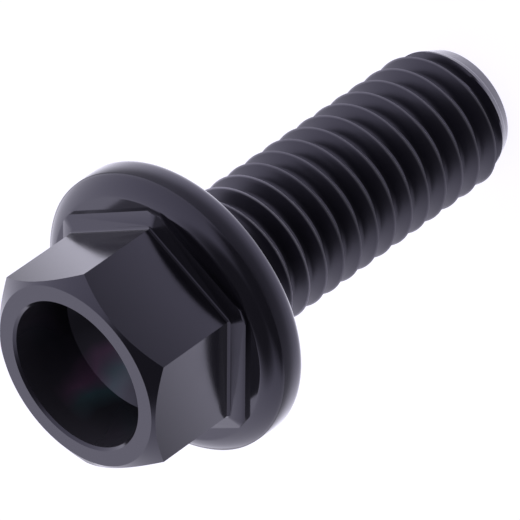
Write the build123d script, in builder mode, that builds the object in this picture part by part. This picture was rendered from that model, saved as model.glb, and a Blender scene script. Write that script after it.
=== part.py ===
"""Hex flange bolt, M6 x 1, 16 mm long, turned and milled from one bar.

The origin is the centre of the bearing face under the flange, and +Z points to the head.
The shank is drawn at the thread's major diameter, so its helix is left to the finish.
"""

import os
from math import cos, radians, sin, tan

from build123d import *

# Shank, in millimetres
thread_diameter = 5.95
shank_length = 16.0
tip_diameter = 4.9
tip_chamfer_angle = 45.0
neck_fillet = 0.35

# Flange
flange_diameter = 11.94
rim_height = 1.0
rim_top_inset = 0.22
foot_round = 0.38
dome_height = 1.72
dome_bulge = 0.09

# Turned step at the foot of the hexagon, with its six milled sides
step_diameter = 10.3
step_height = 0.25
step_across_flats = 9.44

# Hexagon
across_flats = 7.9
head_height = 6.23
end_face_diameter = 7.56
end_chamfer_angle = 37.0
blank_allowance = 0.05
flat_root_radius = 0.12

# Weight-saving recess in the end of the head, with a drilled bottom
recess_diameter = 6.16
recess_depth = 2.9
drill_point_angle = 118.0
recess_mouth_chamfer = 0.1

# Places that follow from the sizes above
thread_radius = thread_diameter / 2
tip_radius = tip_diameter / 2
tip_chamfer_length = (thread_radius - tip_radius) / tan(radians(tip_chamfer_angle))
flange_radius = flange_diameter / 2
step_radius = step_diameter / 2
ledge_height = dome_height + step_height
corner_radius = across_flats / 2 / cos(radians(30))
blank_radius = corner_radius + blank_allowance
end_face_radius = end_face_diameter / 2
chamfer_foot = head_height - (blank_radius - end_face_radius) * tan(radians(end_chamfer_angle))
recess_radius = recess_diameter / 2
drill_point_depth = recess_radius / tan(radians(drill_point_angle / 2))
recess_floor = head_height - recess_depth

# The flange's convex top, from the rim to the turned step
rim_top = (flange_radius - rim_top_inset, rim_height)
step_foot = (step_radius, dome_height)
dome_middle = (
    (rim_top[0] + step_foot[0]) / 2 + dome_bulge,
    (rim_top[1] + step_foot[1]) / 2 + dome_bulge,
)
foot_middle = (
    flange_radius - foot_round * (1 - cos(radians(45))),
    foot_round * (1 - sin(radians(45))),
)

with BuildPart() as flange_bolt:
    # Turned blank: shank, flange and the cylinder that the hexagon is milled from
    with BuildSketch(Plane.XZ) as blank:
        with BuildLine():
            Polyline(
                (0, head_height),
                (0, -shank_length),
                (tip_radius, -shank_length),
                (thread_radius, tip_chamfer_length - shank_length),
                (thread_radius, 0),
                (flange_radius - foot_round, 0),
            )
            ThreePointArc((flange_radius - foot_round, 0), foot_middle, (flange_radius, foot_round))
            TangentArc((flange_radius, foot_round), rim_top, tangent=(0, 1))
            ThreePointArc(rim_top, dome_middle, step_foot)
            Polyline(
                step_foot,
                (step_radius, ledge_height),
                (blank_radius, ledge_height),
                (blank_radius, chamfer_foot),
                (end_face_radius, head_height),
                (0, head_height),
            )
        make_face()
    revolve(axis=Axis.Z)

    # Sides of the low step, milled down to the top of the dome
    with BuildSketch(Plane.XY.offset(dome_height)):
        Circle(flange_radius)
        RegularPolygon(step_across_flats / 2, 6, major_radius=False, mode=Mode.SUBTRACT)
    extrude(amount=step_height, mode=Mode.SUBTRACT)

    # Spanner flats, milled down to the step
    with BuildSketch(Plane.XY.offset(ledge_height)):
        Circle(flange_radius)
        RegularPolygon(across_flats / 2, 6, major_radius=False, mode=Mode.SUBTRACT)
    extrude(amount=head_height - ledge_height, mode=Mode.SUBTRACT)

    # Recess: a bore with a drilled point
    with BuildSketch(Plane.XZ) as recess:
        with BuildLine():
            Polyline(
                (0, head_height),
                (recess_radius + recess_mouth_chamfer, head_height),
                (recess_radius, head_height - recess_mouth_chamfer),
                (recess_radius, recess_floor),
                (0, recess_floor - drill_point_depth),
                close=True,
            )
        make_face()
    revolve(axis=Axis.Z, mode=Mode.SUBTRACT)

    # Fillet that carries the shank into the bearing face
    neck = flange_bolt.edges().filter_by(GeomType.CIRCLE).filter_by(
        lambda edge: abs(edge.radius - thread_radius) < 0.001 and abs(edge.center().Z) < 0.001
    )
    fillet(neck, radius=neck_fillet)

    # Cutter radius where each spanner flat runs down to its ledge
    roots = flange_bolt.edges().filter_by(GeomType.LINE).filter_by(
        lambda edge: abs(edge.center().Z - ledge_height) < 0.001
        and abs(Vector(edge.center().X, edge.center().Y).length - across_flats / 2) < 0.001
    )
    fillet(roots, radius=flat_root_radius)

flange_bolt.part.label = "flange_bolt"
os.makedirs("parts", exist_ok=True)
export_step(flange_bolt.part, "parts/flange_bolt.step")
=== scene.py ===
"""Finish of a black-coated hex flange bolt: its machined head, rolled thread, coats and stage.

Every length is in metres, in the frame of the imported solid: +Z runs from the shank to the
head, and the origin is the centre of the bearing face under the flange.
"""

import logging
import math
from dataclasses import dataclass
from enum import Enum

import bmesh
import bpy
from mathutils import Matrix, Vector


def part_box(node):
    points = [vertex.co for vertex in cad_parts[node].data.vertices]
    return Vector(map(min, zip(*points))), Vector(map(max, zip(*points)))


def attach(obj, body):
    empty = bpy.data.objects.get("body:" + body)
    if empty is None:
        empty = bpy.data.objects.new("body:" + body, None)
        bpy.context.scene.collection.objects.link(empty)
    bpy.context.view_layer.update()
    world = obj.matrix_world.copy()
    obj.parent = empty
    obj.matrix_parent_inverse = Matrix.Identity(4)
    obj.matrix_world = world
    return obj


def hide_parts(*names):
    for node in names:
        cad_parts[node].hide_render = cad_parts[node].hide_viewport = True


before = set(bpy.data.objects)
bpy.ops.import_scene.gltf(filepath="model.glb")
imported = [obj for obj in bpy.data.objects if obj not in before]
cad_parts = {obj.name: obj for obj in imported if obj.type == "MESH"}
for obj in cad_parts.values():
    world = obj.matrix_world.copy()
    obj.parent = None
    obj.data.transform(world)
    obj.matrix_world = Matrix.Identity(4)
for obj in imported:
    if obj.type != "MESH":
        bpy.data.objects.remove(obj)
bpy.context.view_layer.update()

LOG = logging.getLogger("flange_bolt")
MM = 0.001
NODE = "flange_bolt"
COLUMNS = 192
ROOT_STEPS = 5
MERGE_GAP = 0.5e-6


class Coat(Enum):
    """Names of the finishes on the bolt."""

    BODY = "black_hard_coat"
    THREAD = "rolled_thread_coat"
    RECESS = "iridescent_bore_coat"


def mesh_object(name: str, bm: bmesh.types.BMesh) -> bpy.types.Object:
    """Turn a bmesh into an object in the scene.

    Args:
        name: Name of the new object and its mesh.
        bm: The mesh being built, which is freed.

    Returns:
        The new object, at the origin.
    """
    mesh = bpy.data.meshes.new(name)
    bm.to_mesh(mesh)
    bm.free()
    piece = bpy.data.objects.new(name, mesh)
    bpy.context.scene.collection.objects.link(piece)
    return piece


def arc(start: tuple, end: tuple, bulge: float, steps: int) -> list[tuple]:
    """Points on a shallow arc between two profile points, without its ends.

    Args:
        start: First radius and height.
        end: Last radius and height.
        bulge: Height of the arc over its chord, to the left of the way it runs.
        steps: Number of chords that the arc is divided into.

    Returns:
        The points between the two ends.
    """
    dr, dz = end[0] - start[0], end[1] - start[1]
    chord = math.hypot(dr, dz)
    radius = (chord * chord / 4 + bulge * bulge) / (2 * abs(bulge))
    sign = math.copysign(1.0, bulge)
    normal = (-dz / chord * sign, dr / chord * sign)
    drop = radius - abs(bulge)
    points = []
    for step in range(1, steps):
        along = (step / steps - 0.5) * chord
        rise = math.sqrt(radius * radius - along * along) - drop
        points.append((
            (start[0] + end[0]) / 2 + dr / chord * along + normal[0] * rise,
            (start[1] + end[1]) / 2 + dz / chord * along + normal[1] * rise,
        ))
    return points


def apply_modifiers(piece: bpy.types.Object) -> None:
    """Replace a piece's mesh with its evaluated one and remove its modifiers.

    Args:
        piece: The object to change.
    """
    bpy.context.view_layer.update()
    graph = bpy.context.evaluated_depsgraph_get()
    mesh = bpy.data.meshes.new_from_object(piece.evaluated_get(graph))
    piece.modifiers.clear()
    piece.data = mesh


class NodeMath:
    """Short way to write arithmetic inside any node tree."""

    def __init__(self, tree: bpy.types.NodeTree) -> None:
        """Keep the tree.

        Args:
            tree: The tree that the nodes go into.
        """
        self.tree = tree

    def put(self, value: object, socket: bpy.types.NodeSocket) -> None:
        """Set a socket to a number, or link it to an output.

        Args:
            value: A number or an output socket.
            socket: The input that takes it.
        """
        if isinstance(value, (int, float)):
            socket.default_value = value
        else:
            self.tree.links.new(value, socket)

    def __call__(self, operation: str, *values: object) -> bpy.types.NodeSocket:
        """Add one Math node.

        Args:
            operation: Blender's name of the operation.
            values: Numbers or output sockets.

        Returns:
            The node's output.
        """
        node = self.tree.nodes.new("ShaderNodeMath")
        node.operation = operation
        for value, socket in zip(values, node.inputs):
            self.put(value, socket)
        return node.outputs[0]


@dataclass(frozen=True)
class BlackCoat:
    """Glossy black hard coat on machined metal, with a fine grain and a painted highlight on the
    thread's crests.
    """

    name: str = Coat.BODY.value
    colour: tuple = (0.0055, 0.005, 0.0068, 1.0)
    # Lighter grey of the painted highlight on the thread's crests.
    crest_highlight_colour: tuple = (0.42, 0.41, 0.45, 1.0)
    roughness: float = 0.13
    index: float = 1.56
    glint: tuple = (0.82, 0.79, 1.0, 1.0)
    cloud_scale: float = 900.0
    cloud_detail: float = 3.0
    cloud_spread: tuple = (-0.03, 0.05)
    grain_scale: float = 14000.0
    grain_detail: float = 2.0
    grain_strength: float = 0.06
    grain_height: float = 0.004 * MM

    def build(self) -> bpy.types.Material:
        """Build the node tree.

        Returns:
            The finished material.
        """
        material = bpy.data.materials.new(self.name)
        material.use_nodes = True
        nodes, links = material.node_tree.nodes, material.node_tree.links
        shader = nodes["Principled BSDF"]
        shader.inputs["IOR"].default_value = self.index
        shader.inputs["Specular Tint"].default_value = self.glint

        place = nodes.new("ShaderNodeTexCoord")
        clouds = self.noise(material, place, self.cloud_scale, self.cloud_detail)
        tone = nodes.new("ShaderNodeMapRange")
        tone.inputs["To Min"].default_value = self.roughness + self.cloud_spread[0]
        tone.inputs["To Max"].default_value = self.roughness + self.cloud_spread[1]
        links.new(clouds.outputs["Fac"], tone.inputs["Value"])
        links.new(tone.outputs["Result"], shader.inputs["Roughness"])

        # Painted highlight: the crest attribute mixes a lighter grey into the base colour along
        # the thread's crests.
        crest = nodes.new("ShaderNodeAttribute")
        crest.attribute_name = "crest"
        crest_highlight = nodes.new("ShaderNodeMix")
        crest_highlight.data_type = "RGBA"
        crest_highlight.inputs["A"].default_value = self.colour
        crest_highlight.inputs["B"].default_value = self.crest_highlight_colour
        links.new(crest.outputs["Fac"], crest_highlight.inputs["Factor"])
        links.new(crest_highlight.outputs["Result"], shader.inputs["Base Color"])

        grain = self.noise(material, place, self.grain_scale, self.grain_detail)
        bump = nodes.new("ShaderNodeBump")
        bump.inputs["Strength"].default_value = self.grain_strength
        bump.inputs["Distance"].default_value = self.grain_height
        links.new(grain.outputs["Fac"], bump.inputs["Height"])
        links.new(bump.outputs["Normal"], shader.inputs["Normal"])
        return material

    @staticmethod
    def noise(
        material: bpy.types.Material, place: bpy.types.Node, scale: float, detail: float
    ) -> bpy.types.Node:
        """Add a noise texture that reads the piece's own coordinates.

        Args:
            material: Material that the node goes into.
            place: Its Texture Coordinate node.
            scale: Noise scale, per metre.
            detail: Octaves of the noise.

        Returns:
            The noise node.
        """
        node = material.node_tree.nodes.new("ShaderNodeTexNoise")
        node.inputs["Scale"].default_value = scale
        node.inputs["Detail"].default_value = detail
        material.node_tree.links.new(place.outputs["Object"], node.inputs["Vector"])
        return node


@dataclass(frozen=True)
class ThreadCoat(BlackCoat):
    """The same coat over the rolled thread, which is duller than the machined head."""

    name: str = Coat.THREAD.value
    roughness: float = 0.29


@dataclass(frozen=True)
class RecessCoat(BlackCoat):
    """The same coat in the drilled bore, with faint magenta and teal tints deep inside.

    Each tint is placed by its share of a turn from +X.
    """

    name: str = Coat.RECESS.value
    roughness: float = 0.22
    plain: tuple = (0.032, 0.030, 0.036, 1.0)
    drift_scale: float = 420.0
    drift_reach: float = 0.12
    tint_depths: tuple = (5.4 * MM, 4.2 * MM)
    tints: tuple = (
        (0.47, (0.020, 0.019, 0.023, 1.0)),
        (0.53, (0.042, 0.038, 0.048, 1.0)),
        (0.57, (0.135, 0.070, 0.125, 1.0)),
        (0.605, (0.050, 0.095, 0.105, 1.0)),
        (0.66, (0.020, 0.021, 0.025, 1.0)),
    )

    def build(self) -> bpy.types.Material:
        """Build the node tree.

        Returns:
            The finished material.
        """
        material = super().build()
        nodes, links = material.node_tree.nodes, material.node_tree.links
        calc = NodeMath(material.node_tree)
        place = nodes.new("ShaderNodeTexCoord")
        parts = nodes.new("ShaderNodeSeparateXYZ")
        links.new(place.outputs["Object"], parts.inputs[0])
        turn = calc("ARCTAN2", parts.outputs["Y"], parts.outputs["X"])
        share = calc("FRACT", calc("MULTIPLY_ADD", turn, 0.5 / math.pi, 1.0))
        drift = nodes.new("ShaderNodeTexNoise")
        drift.inputs["Scale"].default_value = self.drift_scale
        links.new(place.outputs["Object"], drift.inputs["Vector"])
        moved = calc("MULTIPLY_ADD", calc("SUBTRACT", drift.outputs["Fac"], 0.5),
                     self.drift_reach, share)
        ramp = nodes.new("ShaderNodeValToRGB")
        while len(ramp.color_ramp.elements) < len(self.tints):
            ramp.color_ramp.elements.new(0.5)
        for element, (position, colour) in zip(ramp.color_ramp.elements, self.tints):
            element.position = position
            element.color = colour
        calc.put(moved, ramp.inputs["Fac"])
        deep = nodes.new("ShaderNodeMapRange")
        deep.inputs["From Min"].default_value = self.tint_depths[0]
        deep.inputs["From Max"].default_value = self.tint_depths[1]
        links.new(parts.outputs["Z"], deep.inputs["Value"])
        blend = nodes.new("ShaderNodeMix")
        blend.data_type = "RGBA"
        blend.inputs["A"].default_value = self.plain
        links.new(deep.outputs["Result"], blend.inputs["Factor"])
        links.new(ramp.outputs["Color"], blend.inputs["B"])
        links.new(blend.outputs["Result"], nodes["Principled BSDF"].inputs["Base Color"])
        return material


@dataclass
class Head:
    """Turned and milled head: recess, hexagon, low step, flange and neck fillet."""

    head_height: float = 6.23 * MM
    across_flats: float = 7.9 * MM
    end_face_radius: float = 3.83 * MM
    chamfer_angle: float = 37.0
    blank_allowance: float = 0.05 * MM
    flange_radius: float = 5.97 * MM
    rim_height: float = 1.22 * MM
    rim_top_inset: float = 0.07 * MM
    rim_bulge: float = 0.02 * MM
    foot_round: float = 0.4 * MM
    dome_height: float = 1.72 * MM
    dome_bulge: float = 0.08 * MM
    step_radius: float = 5.15 * MM
    step_height: float = 0.34 * MM
    ledge_drop: float = 0.2 * MM
    step_across_flats: float = 9.2 * MM
    root_fillet: float = 0.12 * MM
    recess_radius: float = 3.08 * MM
    recess_depth: float = 2.9 * MM
    drill_point_angle: float = 118.0
    mouth_chamfer: float = 0.1 * MM
    shank_radius: float = 2.975 * MM
    neck_fillet: float = 0.35 * MM
    edge_break: float = 0.035 * MM
    sharp_from: float = 42.0
    clearance: float = 1.5

    @property
    def ledge(self) -> float:
        """Height of the low step's top."""
        return self.dome_height + self.step_height

    def outline(self) -> list[tuple]:
        """Profile of the turned blank, from the recess's point round to the neck.

        Returns:
            Radius and height of each point, the first on the axis.
        """
        blank = self.across_flats / 2 / math.cos(math.radians(30)) + self.blank_allowance
        foot = self.head_height - (blank - self.end_face_radius) * math.tan(
            math.radians(self.chamfer_angle))
        floor = self.head_height - self.recess_depth
        point = self.recess_radius / math.tan(math.radians(self.drill_point_angle / 2))
        rim_top = (self.flange_radius - self.rim_top_inset, self.rim_height)
        step_foot = (self.step_radius, self.dome_height)
        widest = (self.flange_radius, self.foot_round)
        neck = (self.shank_radius + self.neck_fillet, 0.0)
        shank_top = (self.shank_radius, -self.neck_fillet)
        round_bulge = self.foot_round * (1 - math.cos(math.radians(45)))
        neck_bulge = self.neck_fillet * (1 - math.cos(math.radians(45)))
        return [
            (0.0, floor - point),
            (self.recess_radius, floor),
            (self.recess_radius, self.head_height - self.mouth_chamfer),
            (self.recess_radius + self.mouth_chamfer, self.head_height),
            (self.end_face_radius, self.head_height),
            (blank, foot),
            (blank, self.ledge),
            (self.step_radius, self.ledge),
            step_foot,
            *arc(step_foot, rim_top, self.dome_bulge, 10),
            rim_top,
            *arc(rim_top, widest, self.rim_bulge, 8),
            widest,
            *arc(widest, (self.flange_radius - self.foot_round, 0.0), round_bulge, 8),
            (self.flange_radius - self.foot_round, 0.0),
            neck,
            *arc(neck, shank_top, -neck_bulge, 6),
            shank_top,
        ]

    def lathe(self) -> bpy.types.Object:
        """Turn the outline round the axis into a closed blank.

        Returns:
            The blank, closed by a disc where the shank goes on.
        """
        bm = bmesh.new()
        rings = []
        for radius, height in self.outline():
            if radius == 0.0:
                rings.append([bm.verts.new((0.0, 0.0, height))])
                continue
            turns = [2 * math.pi * column / COLUMNS for column in range(COLUMNS)]
            rings.append([
                bm.verts.new((radius * math.cos(turn), radius * math.sin(turn), height))
                for turn in turns
            ])
        for upper, lower in zip(rings, rings[1:]):
            for column in range(COLUMNS):
                following = (column + 1) % COLUMNS
                if len(upper) == 1:
                    bm.faces.new((upper[0], lower[column], lower[following]))
                else:
                    bm.faces.new((upper[column], lower[column], lower[following],
                                  upper[following]))
        bm.faces.new(rings[-1])
        bmesh.ops.recalc_face_normals(bm, faces=bm.faces)
        return mesh_object("head", bm)

    @staticmethod
    def cutter(profile: list[tuple]) -> bpy.types.Object:
        """Make the ring that is milled away round a hexagon.

        Args:
            profile: Distance from the axis, square to a flat, and height of each point.

        Returns:
            The closed ring.
        """
        bm = bmesh.new()
        loops = []
        for apothem, height in profile:
            corner = apothem / math.cos(math.radians(30))
            loops.append([
                bm.verts.new((corner * math.cos(math.radians(60 * side)),
                              corner * math.sin(math.radians(60 * side)), height))
                for side in range(6)
            ])
        for first, second in zip(loops, loops[1:] + loops[:1]):
            for side in range(6):
                following = (side + 1) % 6
                bm.faces.new((first[side], second[side], second[following],
                              first[following]))
        bmesh.ops.recalc_face_normals(bm, faces=bm.faces)
        return mesh_object("cutter", bm)

    def step_profile(self) -> list[tuple]:
        """Section of the cut that leaves the low step: a flat floor and a plain wall."""
        wall, top = self.step_across_flats / 2, self.ledge
        clear = self.flange_radius * self.clearance
        return [(wall, self.dome_height), (clear, self.dome_height),
                (clear, top + self.edge_break), (wall, top + self.edge_break)]

    def hexagon_profile(self) -> list[tuple]:
        """Section of the cut that leaves the flats: a filleted root and a falling ledge."""
        wall, fillet = self.across_flats / 2, self.root_fillet
        edge, top = self.step_across_flats / 2 + self.edge_break, self.head_height * 2
        turns = [math.radians(90 * step / ROOT_STEPS) for step in range(ROOT_STEPS + 1)]
        root = [(wall + fillet * (1 - math.cos(turn)),
                 self.ledge + fillet * (1 - math.sin(turn))) for turn in turns]
        return [*root, (edge, self.ledge - self.ledge_drop), (edge, top), (wall, top)]

    @staticmethod
    def mill(blank: bpy.types.Object, tool: bpy.types.Object) -> None:
        """Cut one hexagon into the blank.

        Args:
            blank: The turned blank, which is changed.
            tool: The ring to take away, which is deleted.
        """
        cut = blank.modifiers.new("cut", "BOOLEAN")
        cut.operation = "DIFFERENCE"
        cut.solver = "EXACT"
        cut.object = tool
        apply_modifiers(blank)
        bpy.data.objects.remove(tool, do_unlink=True)

    def build(self) -> bpy.types.Object:
        """Turn and mill the head, and break its sharp edges.

        Returns:
            The head, open where the shank goes on.
        """
        head = self.lathe()
        self.mill(head, self.cutter(self.step_profile()))
        self.mill(head, self.cutter(self.hexagon_profile()))
        bm = bmesh.new()
        bm.from_mesh(head.data)
        bmesh.ops.remove_doubles(bm, verts=bm.verts, dist=MERGE_GAP)
        lid = min(bm.faces, key=lambda face: face.calc_center_median().z)
        bmesh.ops.delete(bm, geom=[lid], context="FACES_ONLY")
        bm.to_mesh(head.data)
        bm.free()
        edges = head.modifiers.new("edge_break", "BEVEL")
        edges.width = self.edge_break
        edges.segments = 2
        edges.limit_method = "ANGLE"
        edges.angle_limit = math.radians(self.sharp_from)
        edges.use_clamp_overlap = True
        edges.miter_outer = "MITER_ARC"
        apply_modifiers(head)
        return head


@dataclass
class Thread:
    """Rolled right-hand thread on the shank, grown from a sheared grid by Geometry Nodes."""

    major_radius: float = 2.975 * MM
    pitch: float = 1.0 * MM
    depth: float = 0.613 * MM
    top: float = -0.35 * MM
    tip: float = -16.0 * MM
    tip_radius: float = 2.45 * MM
    tip_slope: float = 0.42
    tip_fade_low: float = 0.25 * MM
    tip_fade_high: float = 1.0 * MM
    crest_height: float = -9.6 * MM
    run_out_start: float = -1.4 * MM
    run_out_length: float = 1.5 * MM
    root_share: float = 0.2
    crest_share: float = 0.97
    # Strength of the painted crest highlight at the tip, and the heights over which it rises to
    # full towards the head.
    tip_highlight: float = 0.36
    highlight_low: float = -5.6 * MM
    highlight_high: float = -3.2 * MM
    rows_per_pitch: int = 16

    def tree(self, material: bpy.types.Material) -> bpy.types.NodeTree:
        """Build the Geometry Nodes tree.

        Args:
            material: Material set on the thread.

        Returns:
            The tree, with named inputs for the thread's sizes.
        """
        tree = bpy.data.node_groups.new("rolled_thread", "GeometryNodeTree")
        face = tree.interface
        face.new_socket("Geometry", in_out="OUTPUT", socket_type="NodeSocketGeometry")
        for name in self.sizes():
            face.new_socket(name, in_out="INPUT", socket_type="NodeSocketFloat")
        for name in ("Columns", "Rows", "Rows per Pitch"):
            face.new_socket(name, in_out="INPUT", socket_type="NodeSocketInt")
        given = tree.nodes.new("NodeGroupInput").outputs
        calc = NodeMath(tree)

        grid = tree.nodes.new("GeometryNodeMeshGrid")
        grid.inputs["Size X"].default_value = 1.0
        grid.inputs["Size Y"].default_value = 1.0
        calc.put(calc("ADD", given["Columns"], 1), grid.inputs["Vertices X"])
        calc.put(calc("ADD", given["Rows"], 1), grid.inputs["Vertices Y"])
        place = tree.nodes.new("GeometryNodeInputPosition")
        parts = tree.nodes.new("ShaderNodeSeparateXYZ")
        tree.links.new(place.outputs[0], parts.inputs[0])
        turn = calc("ADD", parts.outputs["X"], 0.5)
        row = calc("MULTIPLY", calc("ADD", parts.outputs["Y"], 0.5), given["Rows"])

        # Height of a point on the sheared grid, held between the tip and the neck
        rise = calc("DIVIDE", row, given["Rows per Pitch"])
        low = calc("SUBTRACT", given["Tip Height"], given["Pitch"])
        first = calc("FLOOR", calc("DIVIDE", calc("SUBTRACT", low, given["Crest Height"]),
                                   given["Pitch"]))
        pitches = calc("ADD", calc("ADD", rise, turn), first)
        free = calc("MULTIPLY_ADD", pitches, given["Pitch"], given["Crest Height"])
        height = calc("MINIMUM", calc("MAXIMUM", free, given["Tip Height"]),
                      given["Top Height"])

        # Share of a pitch from the nearest root, then the flank's share of its depth
        phase = calc("FRACT", calc("SUBTRACT", calc(
            "DIVIDE", calc("SUBTRACT", height, given["Crest Height"]), given["Pitch"]), turn))
        from_root = calc("MULTIPLY", calc("ABSOLUTE", calc("SUBTRACT", phase, 0.5)), 2.0)
        flank = tree.nodes.new("ShaderNodeMapRange")
        flank.inputs["From Min"].default_value = self.root_share
        flank.inputs["From Max"].default_value = self.crest_share
        tree.links.new(from_root, flank.inputs["Value"])
        lift = flank.outputs["Result"]
        fade = tree.nodes.new("ShaderNodeMapRange")
        fade.interpolation_type = "SMOOTHSTEP"
        tree.links.new(height, fade.inputs["Value"])
        calc.put(given["Run Out Start"], fade.inputs["From Max"])
        calc.put(calc("SUBTRACT", given["Run Out Start"], given["Run Out Length"]),
                 fade.inputs["From Min"])
        fade.inputs["To Min"].default_value = 1.0
        fade.inputs["To Max"].default_value = 0.0
        start = tree.nodes.new("ShaderNodeMapRange")
        start.interpolation_type = "SMOOTHSTEP"
        tree.links.new(calc("SUBTRACT", height, given["Tip Height"]), start.inputs["Value"])
        calc.put(given["Tip Fade Low"], start.inputs["From Min"])
        calc.put(given["Tip Fade High"], start.inputs["From Max"])
        shown = calc("MULTIPLY", fade.outputs["Result"], start.outputs["Result"])
        cut = calc("MULTIPLY", calc("MULTIPLY", calc("SUBTRACT", 1.0, lift),
                                    given["Depth"]), shown)
        radius = calc("SUBTRACT", given["Major Radius"], cut)
        cone = calc("MULTIPLY_ADD", calc("SUBTRACT", height, given["Tip Height"]),
                    given["Tip Slope"], given["Tip Radius"])
        radius = calc("MINIMUM", radius, cone)

        angle = calc("MULTIPLY", turn, 2 * math.pi)
        point = tree.nodes.new("ShaderNodeCombineXYZ")
        tree.links.new(calc("MULTIPLY", radius, calc("COSINE", angle)), point.inputs["X"])
        tree.links.new(calc("MULTIPLY", radius, calc("SINE", angle)), point.inputs["Y"])
        tree.links.new(height, point.inputs["Z"])

        # Store where the coat paints its crest highlight: on the crest tops, faded out at the
        # run-out and weaker towards the tip.
        crest = tree.nodes.new("GeometryNodeStoreNamedAttribute")
        crest.data_type = "FLOAT"
        crest.domain = "POINT"
        crest.inputs["Name"].default_value = "crest"
        tree.links.new(grid.outputs["Mesh"], crest.inputs["Geometry"])
        crest_highlight = tree.nodes.new("ShaderNodeMapRange")
        crest_highlight.interpolation_type = "SMOOTHSTEP"
        tree.links.new(height, crest_highlight.inputs["Value"])
        calc.put(given["Highlight Low"], crest_highlight.inputs["From Min"])
        calc.put(given["Highlight High"], crest_highlight.inputs["From Max"])
        crest_highlight.inputs["To Min"].default_value = self.tip_highlight
        crown = calc("MULTIPLY", calc("MULTIPLY", calc("GREATER_THAN", lift, 0.999),
                                      fade.outputs["Result"]), crest_highlight.outputs["Result"])
        calc.put(crown, crest.inputs["Value"])
        move = tree.nodes.new("GeometryNodeSetPosition")
        tree.links.new(crest.outputs["Geometry"], move.inputs["Geometry"])
        tree.links.new(point.outputs["Vector"], move.inputs["Position"])
        weld = tree.nodes.new("GeometryNodeMergeByDistance")
        weld.inputs["Distance"].default_value = MERGE_GAP
        tree.links.new(move.outputs["Geometry"], weld.inputs["Geometry"])
        real = tree.nodes.new("GeometryNodeRealizeInstances")
        tree.links.new(weld.outputs["Geometry"], real.inputs["Geometry"])
        paint = tree.nodes.new("GeometryNodeSetMaterial")
        paint.inputs["Material"].default_value = material
        tree.links.new(real.outputs["Geometry"], paint.inputs["Geometry"])
        out = tree.nodes.new("NodeGroupOutput")
        tree.links.new(paint.outputs["Geometry"], out.inputs["Geometry"])
        return tree

    def sizes(self) -> dict[str, float]:
        """Named sizes that the tree takes, in metres."""
        return {
            "Major Radius": self.major_radius,
            "Pitch": self.pitch,
            "Depth": self.depth,
            "Top Height": self.top,
            "Tip Height": self.tip,
            "Tip Radius": self.tip_radius,
            "Tip Slope": self.tip_slope,
            "Tip Fade Low": self.tip_fade_low,
            "Tip Fade High": self.tip_fade_high,
            "Crest Height": self.crest_height,
            "Run Out Start": self.run_out_start,
            "Run Out Length": self.run_out_length,
            "Highlight Low": self.highlight_low,
            "Highlight High": self.highlight_high,
        }

    def build(self, material: bpy.types.Material) -> bpy.types.Object:
        """Grow the thread and close its tip.

        Args:
            material: Material set on the thread.

        Returns:
            The shank, open where it joins the neck.
        """
        shank = mesh_object("shank", bmesh.new())
        grower = shank.modifiers.new("thread", "NODES")
        grower.node_group = self.tree(material)
        pitches = math.ceil((self.top - self.tip) / self.pitch) + 3
        values = self.sizes()
        values["Columns"] = COLUMNS
        values["Rows"] = pitches * self.rows_per_pitch
        values["Rows per Pitch"] = self.rows_per_pitch
        for item in grower.node_group.interface.items_tree:
            if item.in_out == "INPUT":
                grower[item.identifier] = values[item.name]
        apply_modifiers(shank)

        bm = bmesh.new()
        bm.from_mesh(shank.data)
        bmesh.ops.dissolve_degenerate(bm, edges=bm.edges, dist=MERGE_GAP / 10)
        ring = [edge for edge in bm.edges if edge.is_boundary
                and max(vert.co.z for vert in edge.verts) < self.tip + 0.01 * MM]
        bmesh.ops.contextual_create(bm, geom=ring)
        bmesh.ops.recalc_face_normals(bm, faces=bm.faces)
        bm.to_mesh(shank.data)
        bm.free()
        return shank


@dataclass
class FlangeBolt:
    """The whole bolt: its head and its shank, welded at the neck into one closed mesh."""

    head: Head
    thread: Thread
    crease_angle: float = 32.0

    def build(self) -> bpy.types.Object:
        """Build, weld and dress the bolt.

        Returns:
            The bolt, in place of its solid.
        """
        body_coat = BlackCoat().build()
        recess_coat = RecessCoat().build()
        thread_coat = ThreadCoat().build()
        head = self.head.build()
        shank = self.thread.build(thread_coat)
        bm = bmesh.new()
        bm.from_mesh(head.data)
        bm.from_mesh(shank.data)
        bmesh.ops.remove_doubles(bm, verts=bm.verts, dist=4 * MERGE_GAP)
        open_edges = sum(1 for edge in bm.edges if not edge.is_manifold)
        LOG.info("bolt: %d faces, %d open edges", len(bm.faces), open_edges)
        bmesh.ops.recalc_face_normals(bm, faces=bm.faces)
        for face in bm.faces:
            face.smooth = True
            centre = face.calc_center_median()
            inside = math.hypot(centre.x, centre.y) < self.head.recess_radius + 0.01 * MM
            coat = 2 if centre.z < self.thread.top else int(inside and centre.z > 0.0)
            face.material_index = coat
        for old in (head, shank):
            bpy.data.objects.remove(old, do_unlink=True)
        bolt = mesh_object("flange_bolt_finish", bm)
        bolt.data.materials.append(body_coat)
        bolt.data.materials.append(recess_coat)
        bolt.data.materials.append(thread_coat)
        bolt.data.set_sharp_from_angle(angle=math.radians(self.crease_angle))
        evened = bolt.modifiers.new("even_normals", "WEIGHTED_NORMAL")
        evened.keep_sharp = True
        apply_modifiers(bolt)
        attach(bolt, "root")
        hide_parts(NODE)
        return bolt


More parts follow.
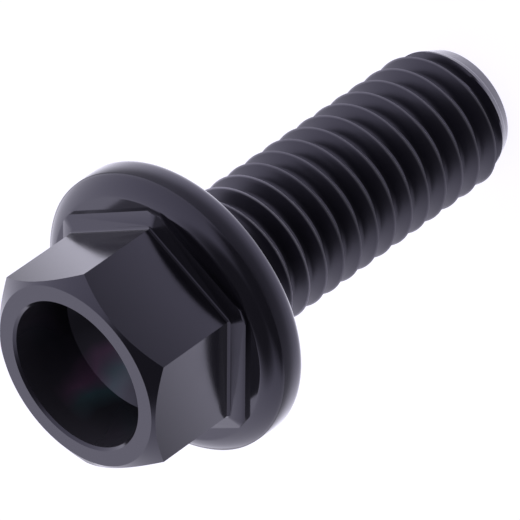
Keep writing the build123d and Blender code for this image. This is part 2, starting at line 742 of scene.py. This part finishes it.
@dataclass
class Studio:
    """Plain pale stage: floor, room light and camera.

    The camera sees plain white. Only reflections see the room's dark patches and the floor's
    pool of light. A patch is its azimuth, elevation, inner and outer angle, in degrees.
    """

    azimuth: float = 20.776
    elevation: float = 35.972
    roll: float = 125.193
    distance: float = 251.9 * MM
    lens: float = 461.9
    aim_offset: tuple = (1.8416 * MM, 0.2418 * MM, 2.3945 * MM)
    floor_size: float = 0.11
    tint: tuple = (0.95, 0.93, 1.07, 1.0)
    backdrop: float = 1.17
    floor_glow: float = 0.85
    floor_gloss: float = 2.5
    floor_slope: float = -30.0
    floor_pool: tuple = (30.0 * MM, 42.0 * MM)
    floor_dim: float = 0.75
    walls: float = 1.27
    wall_slope: float = -0.45
    dark: float = 0.13
    dark_side: tuple = (-8.0, 12.0, 40.0, 66.0)
    dark_top: tuple = (-60.0, 75.0, 20.0, 40.0)

    def floor(self) -> bpy.types.Object:
        """Lay the pale floor under the tip.

        Returns:
            The floor.
        """
        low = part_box(NODE)[0][2]
        bm = bmesh.new()
        bmesh.ops.create_grid(bm, x_segments=1, y_segments=1, size=self.floor_size / 2)
        bmesh.ops.translate(bm, verts=bm.verts, vec=(0.0, 0.0, low))
        floor = mesh_object("floor", bm)
        material = bpy.data.materials.new("pale_floor")
        material.use_nodes = True
        nodes, links = material.node_tree.nodes, material.node_tree.links
        nodes.clear()
        path = nodes.new("ShaderNodeLightPath")
        calc = NodeMath(material.node_tree)
        seen = calc("MAXIMUM", calc("MAXIMUM", path.outputs["Is Camera Ray"],
                                    path.outputs["Is Glossy Ray"]),
                    path.outputs["Is Transmission Ray"])
        paint = nodes.new("ShaderNodeBsdfDiffuse")
        paint.inputs["Color"].default_value = (0.9, 0.9, 0.9, 1.0)
        glow = nodes.new("ShaderNodeEmission")
        place = nodes.new("ShaderNodeTexCoord")
        parts = nodes.new("ShaderNodeSeparateXYZ")
        links.new(place.outputs["Object"], parts.inputs[0])
        tilt = calc("MINIMUM", calc("MULTIPLY_ADD", parts.outputs["X"], self.floor_slope,
                                    self.floor_gloss), self.floor_gloss)
        reach = nodes.new("ShaderNodeMapRange")
        reach.interpolation_type = "SMOOTHSTEP"
        reach.inputs["From Min"].default_value = self.floor_pool[0]
        reach.inputs["From Max"].default_value = self.floor_pool[1]
        reach.inputs["To Min"].default_value = 1.0
        reach.inputs["To Max"].default_value = 1.0 - self.floor_dim
        length = nodes.new("ShaderNodeVectorMath")
        length.operation = "LENGTH"
        links.new(place.outputs["Object"], length.inputs[0])
        links.new(length.outputs["Value"], reach.inputs["Value"])
        gloss = calc("MULTIPLY", tilt, reach.outputs["Result"])
        camera_ray = path.outputs["Is Camera Ray"]
        glow.inputs["Color"].default_value = self.tint
        calc.put(calc("ADD", calc("MULTIPLY", camera_ray, self.backdrop),
                      calc("MULTIPLY", calc("SUBTRACT", 1.0, camera_ray), gloss)),
                 glow.inputs["Strength"])
        blend = nodes.new("ShaderNodeMixShader")
        calc.put(calc("MULTIPLY", seen, self.floor_glow), blend.inputs["Fac"])
        out = nodes.new("ShaderNodeOutputMaterial")
        links.new(paint.outputs[0], blend.inputs[1])
        links.new(glow.outputs[0], blend.inputs[2])
        links.new(blend.outputs[0], out.inputs["Surface"])
        floor.data.materials.append(material)
        return floor

    def surroundings(self) -> None:
        """Make a bright room with a dark side and a dark top, white where the camera sees it."""
        world = bpy.data.worlds.new("white_room")
        world.use_nodes = True
        nodes, links = world.node_tree.nodes, world.node_tree.links
        calc = NodeMath(world.node_tree)
        place = nodes.new("ShaderNodeTexCoord")
        parts = nodes.new("ShaderNodeSeparateXYZ")
        links.new(place.outputs["Generated"], parts.inputs[0])
        shade = calc("MAXIMUM", *(self.patch(world.node_tree, place, *where)
                                  for where in (self.dark_side, self.dark_top)))
        bright = calc("MULTIPLY_ADD", parts.outputs["X"], self.wall_slope, self.walls)
        level = calc("ADD", calc("MULTIPLY", calc("SUBTRACT", 1.0, shade), bright),
                     calc("MULTIPLY", shade, self.dark))
        path = nodes.new("ShaderNodeLightPath")
        seen = path.outputs["Is Camera Ray"]
        dimmed = calc("MULTIPLY", level, calc("SUBTRACT", 1.0, seen))
        calc.put(calc("MULTIPLY_ADD", seen, self.backdrop, dimmed),
                 nodes["Background"].inputs["Strength"])
        nodes["Background"].inputs["Color"].default_value = self.tint
        bpy.context.scene.world = world

    @staticmethod
    def patch(tree: bpy.types.NodeTree, place: bpy.types.Node, azimuth: float,
              elevation: float, inner: float, outer: float) -> bpy.types.NodeSocket:
        """Mark a soft round patch of the room.

        Args:
            tree: The world's node tree.
            place: Its Texture Coordinate node.
            azimuth: Direction of the patch's centre, in degrees from +X.
            elevation: Its height over the horizon, in degrees.
            inner: Angle from the centre up to which the patch is full.
            outer: Angle at which it ends.

        Returns:
            The patch's strength, 1 inside and 0 outside.
        """
        turn, lift = math.radians(azimuth), math.radians(elevation)
        near = tree.nodes.new("ShaderNodeVectorMath")
        near.operation = "DOT_PRODUCT"
        near.inputs[1].default_value = (math.cos(lift) * math.cos(turn),
                                        math.cos(lift) * math.sin(turn), math.sin(lift))
        tree.links.new(place.outputs["Generated"], near.inputs[0])
        soft = tree.nodes.new("ShaderNodeMapRange")
        soft.interpolation_type = "SMOOTHSTEP"
        soft.inputs["From Min"].default_value = math.cos(math.radians(outer))
        soft.inputs["From Max"].default_value = math.cos(math.radians(inner))
        tree.links.new(near.outputs["Value"], soft.inputs["Value"])
        return soft.outputs["Result"]

    def camera(self) -> None:
        """Stand the camera off the bolt, rolled so that the shank points up and right."""
        low, high = (Vector(corner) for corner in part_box(NODE))
        aim = (low + high) / 2 + Vector(self.aim_offset)
        azimuth, elevation = math.radians(self.azimuth), math.radians(self.elevation)
        back = Vector((math.cos(elevation) * math.cos(azimuth),
                       math.cos(elevation) * math.sin(azimuth), math.sin(elevation)))
        level = Vector((0, 0, 1)).cross(back).normalized()
        upright = back.cross(level)
        roll = math.radians(self.roll)
        up = upright * math.cos(roll) + level * math.sin(roll)
        right = up.cross(back)
        data = bpy.data.cameras.new("camera")
        data.lens = self.lens
        data.sensor_width = 36.0
        data.clip_start = 0.01
        camera = bpy.data.objects.new("camera", data)
        turn = Matrix((right, up, back)).transposed().to_4x4()
        camera.matrix_world = Matrix.Translation(aim + back * self.distance) @ turn
        bpy.context.scene.collection.objects.link(camera)
        bpy.context.scene.camera = camera

    def build(self) -> None:
        """Set the whole stage."""
        self.floor()
        self.surroundings()
        self.camera()
        bpy.context.scene.view_settings.view_transform = "Standard"


def main() -> None:
    """Build the stage and the bolt."""
    logging.basicConfig(level=logging.INFO)
    Studio().build()
    bolt = FlangeBolt(Head(), Thread()).build()
    LOG.info("%s: %d triangles", bolt.name, sum(len(p.vertices) - 2 for p in bolt.data.polygons))


if __name__ == "__main__":
    main()
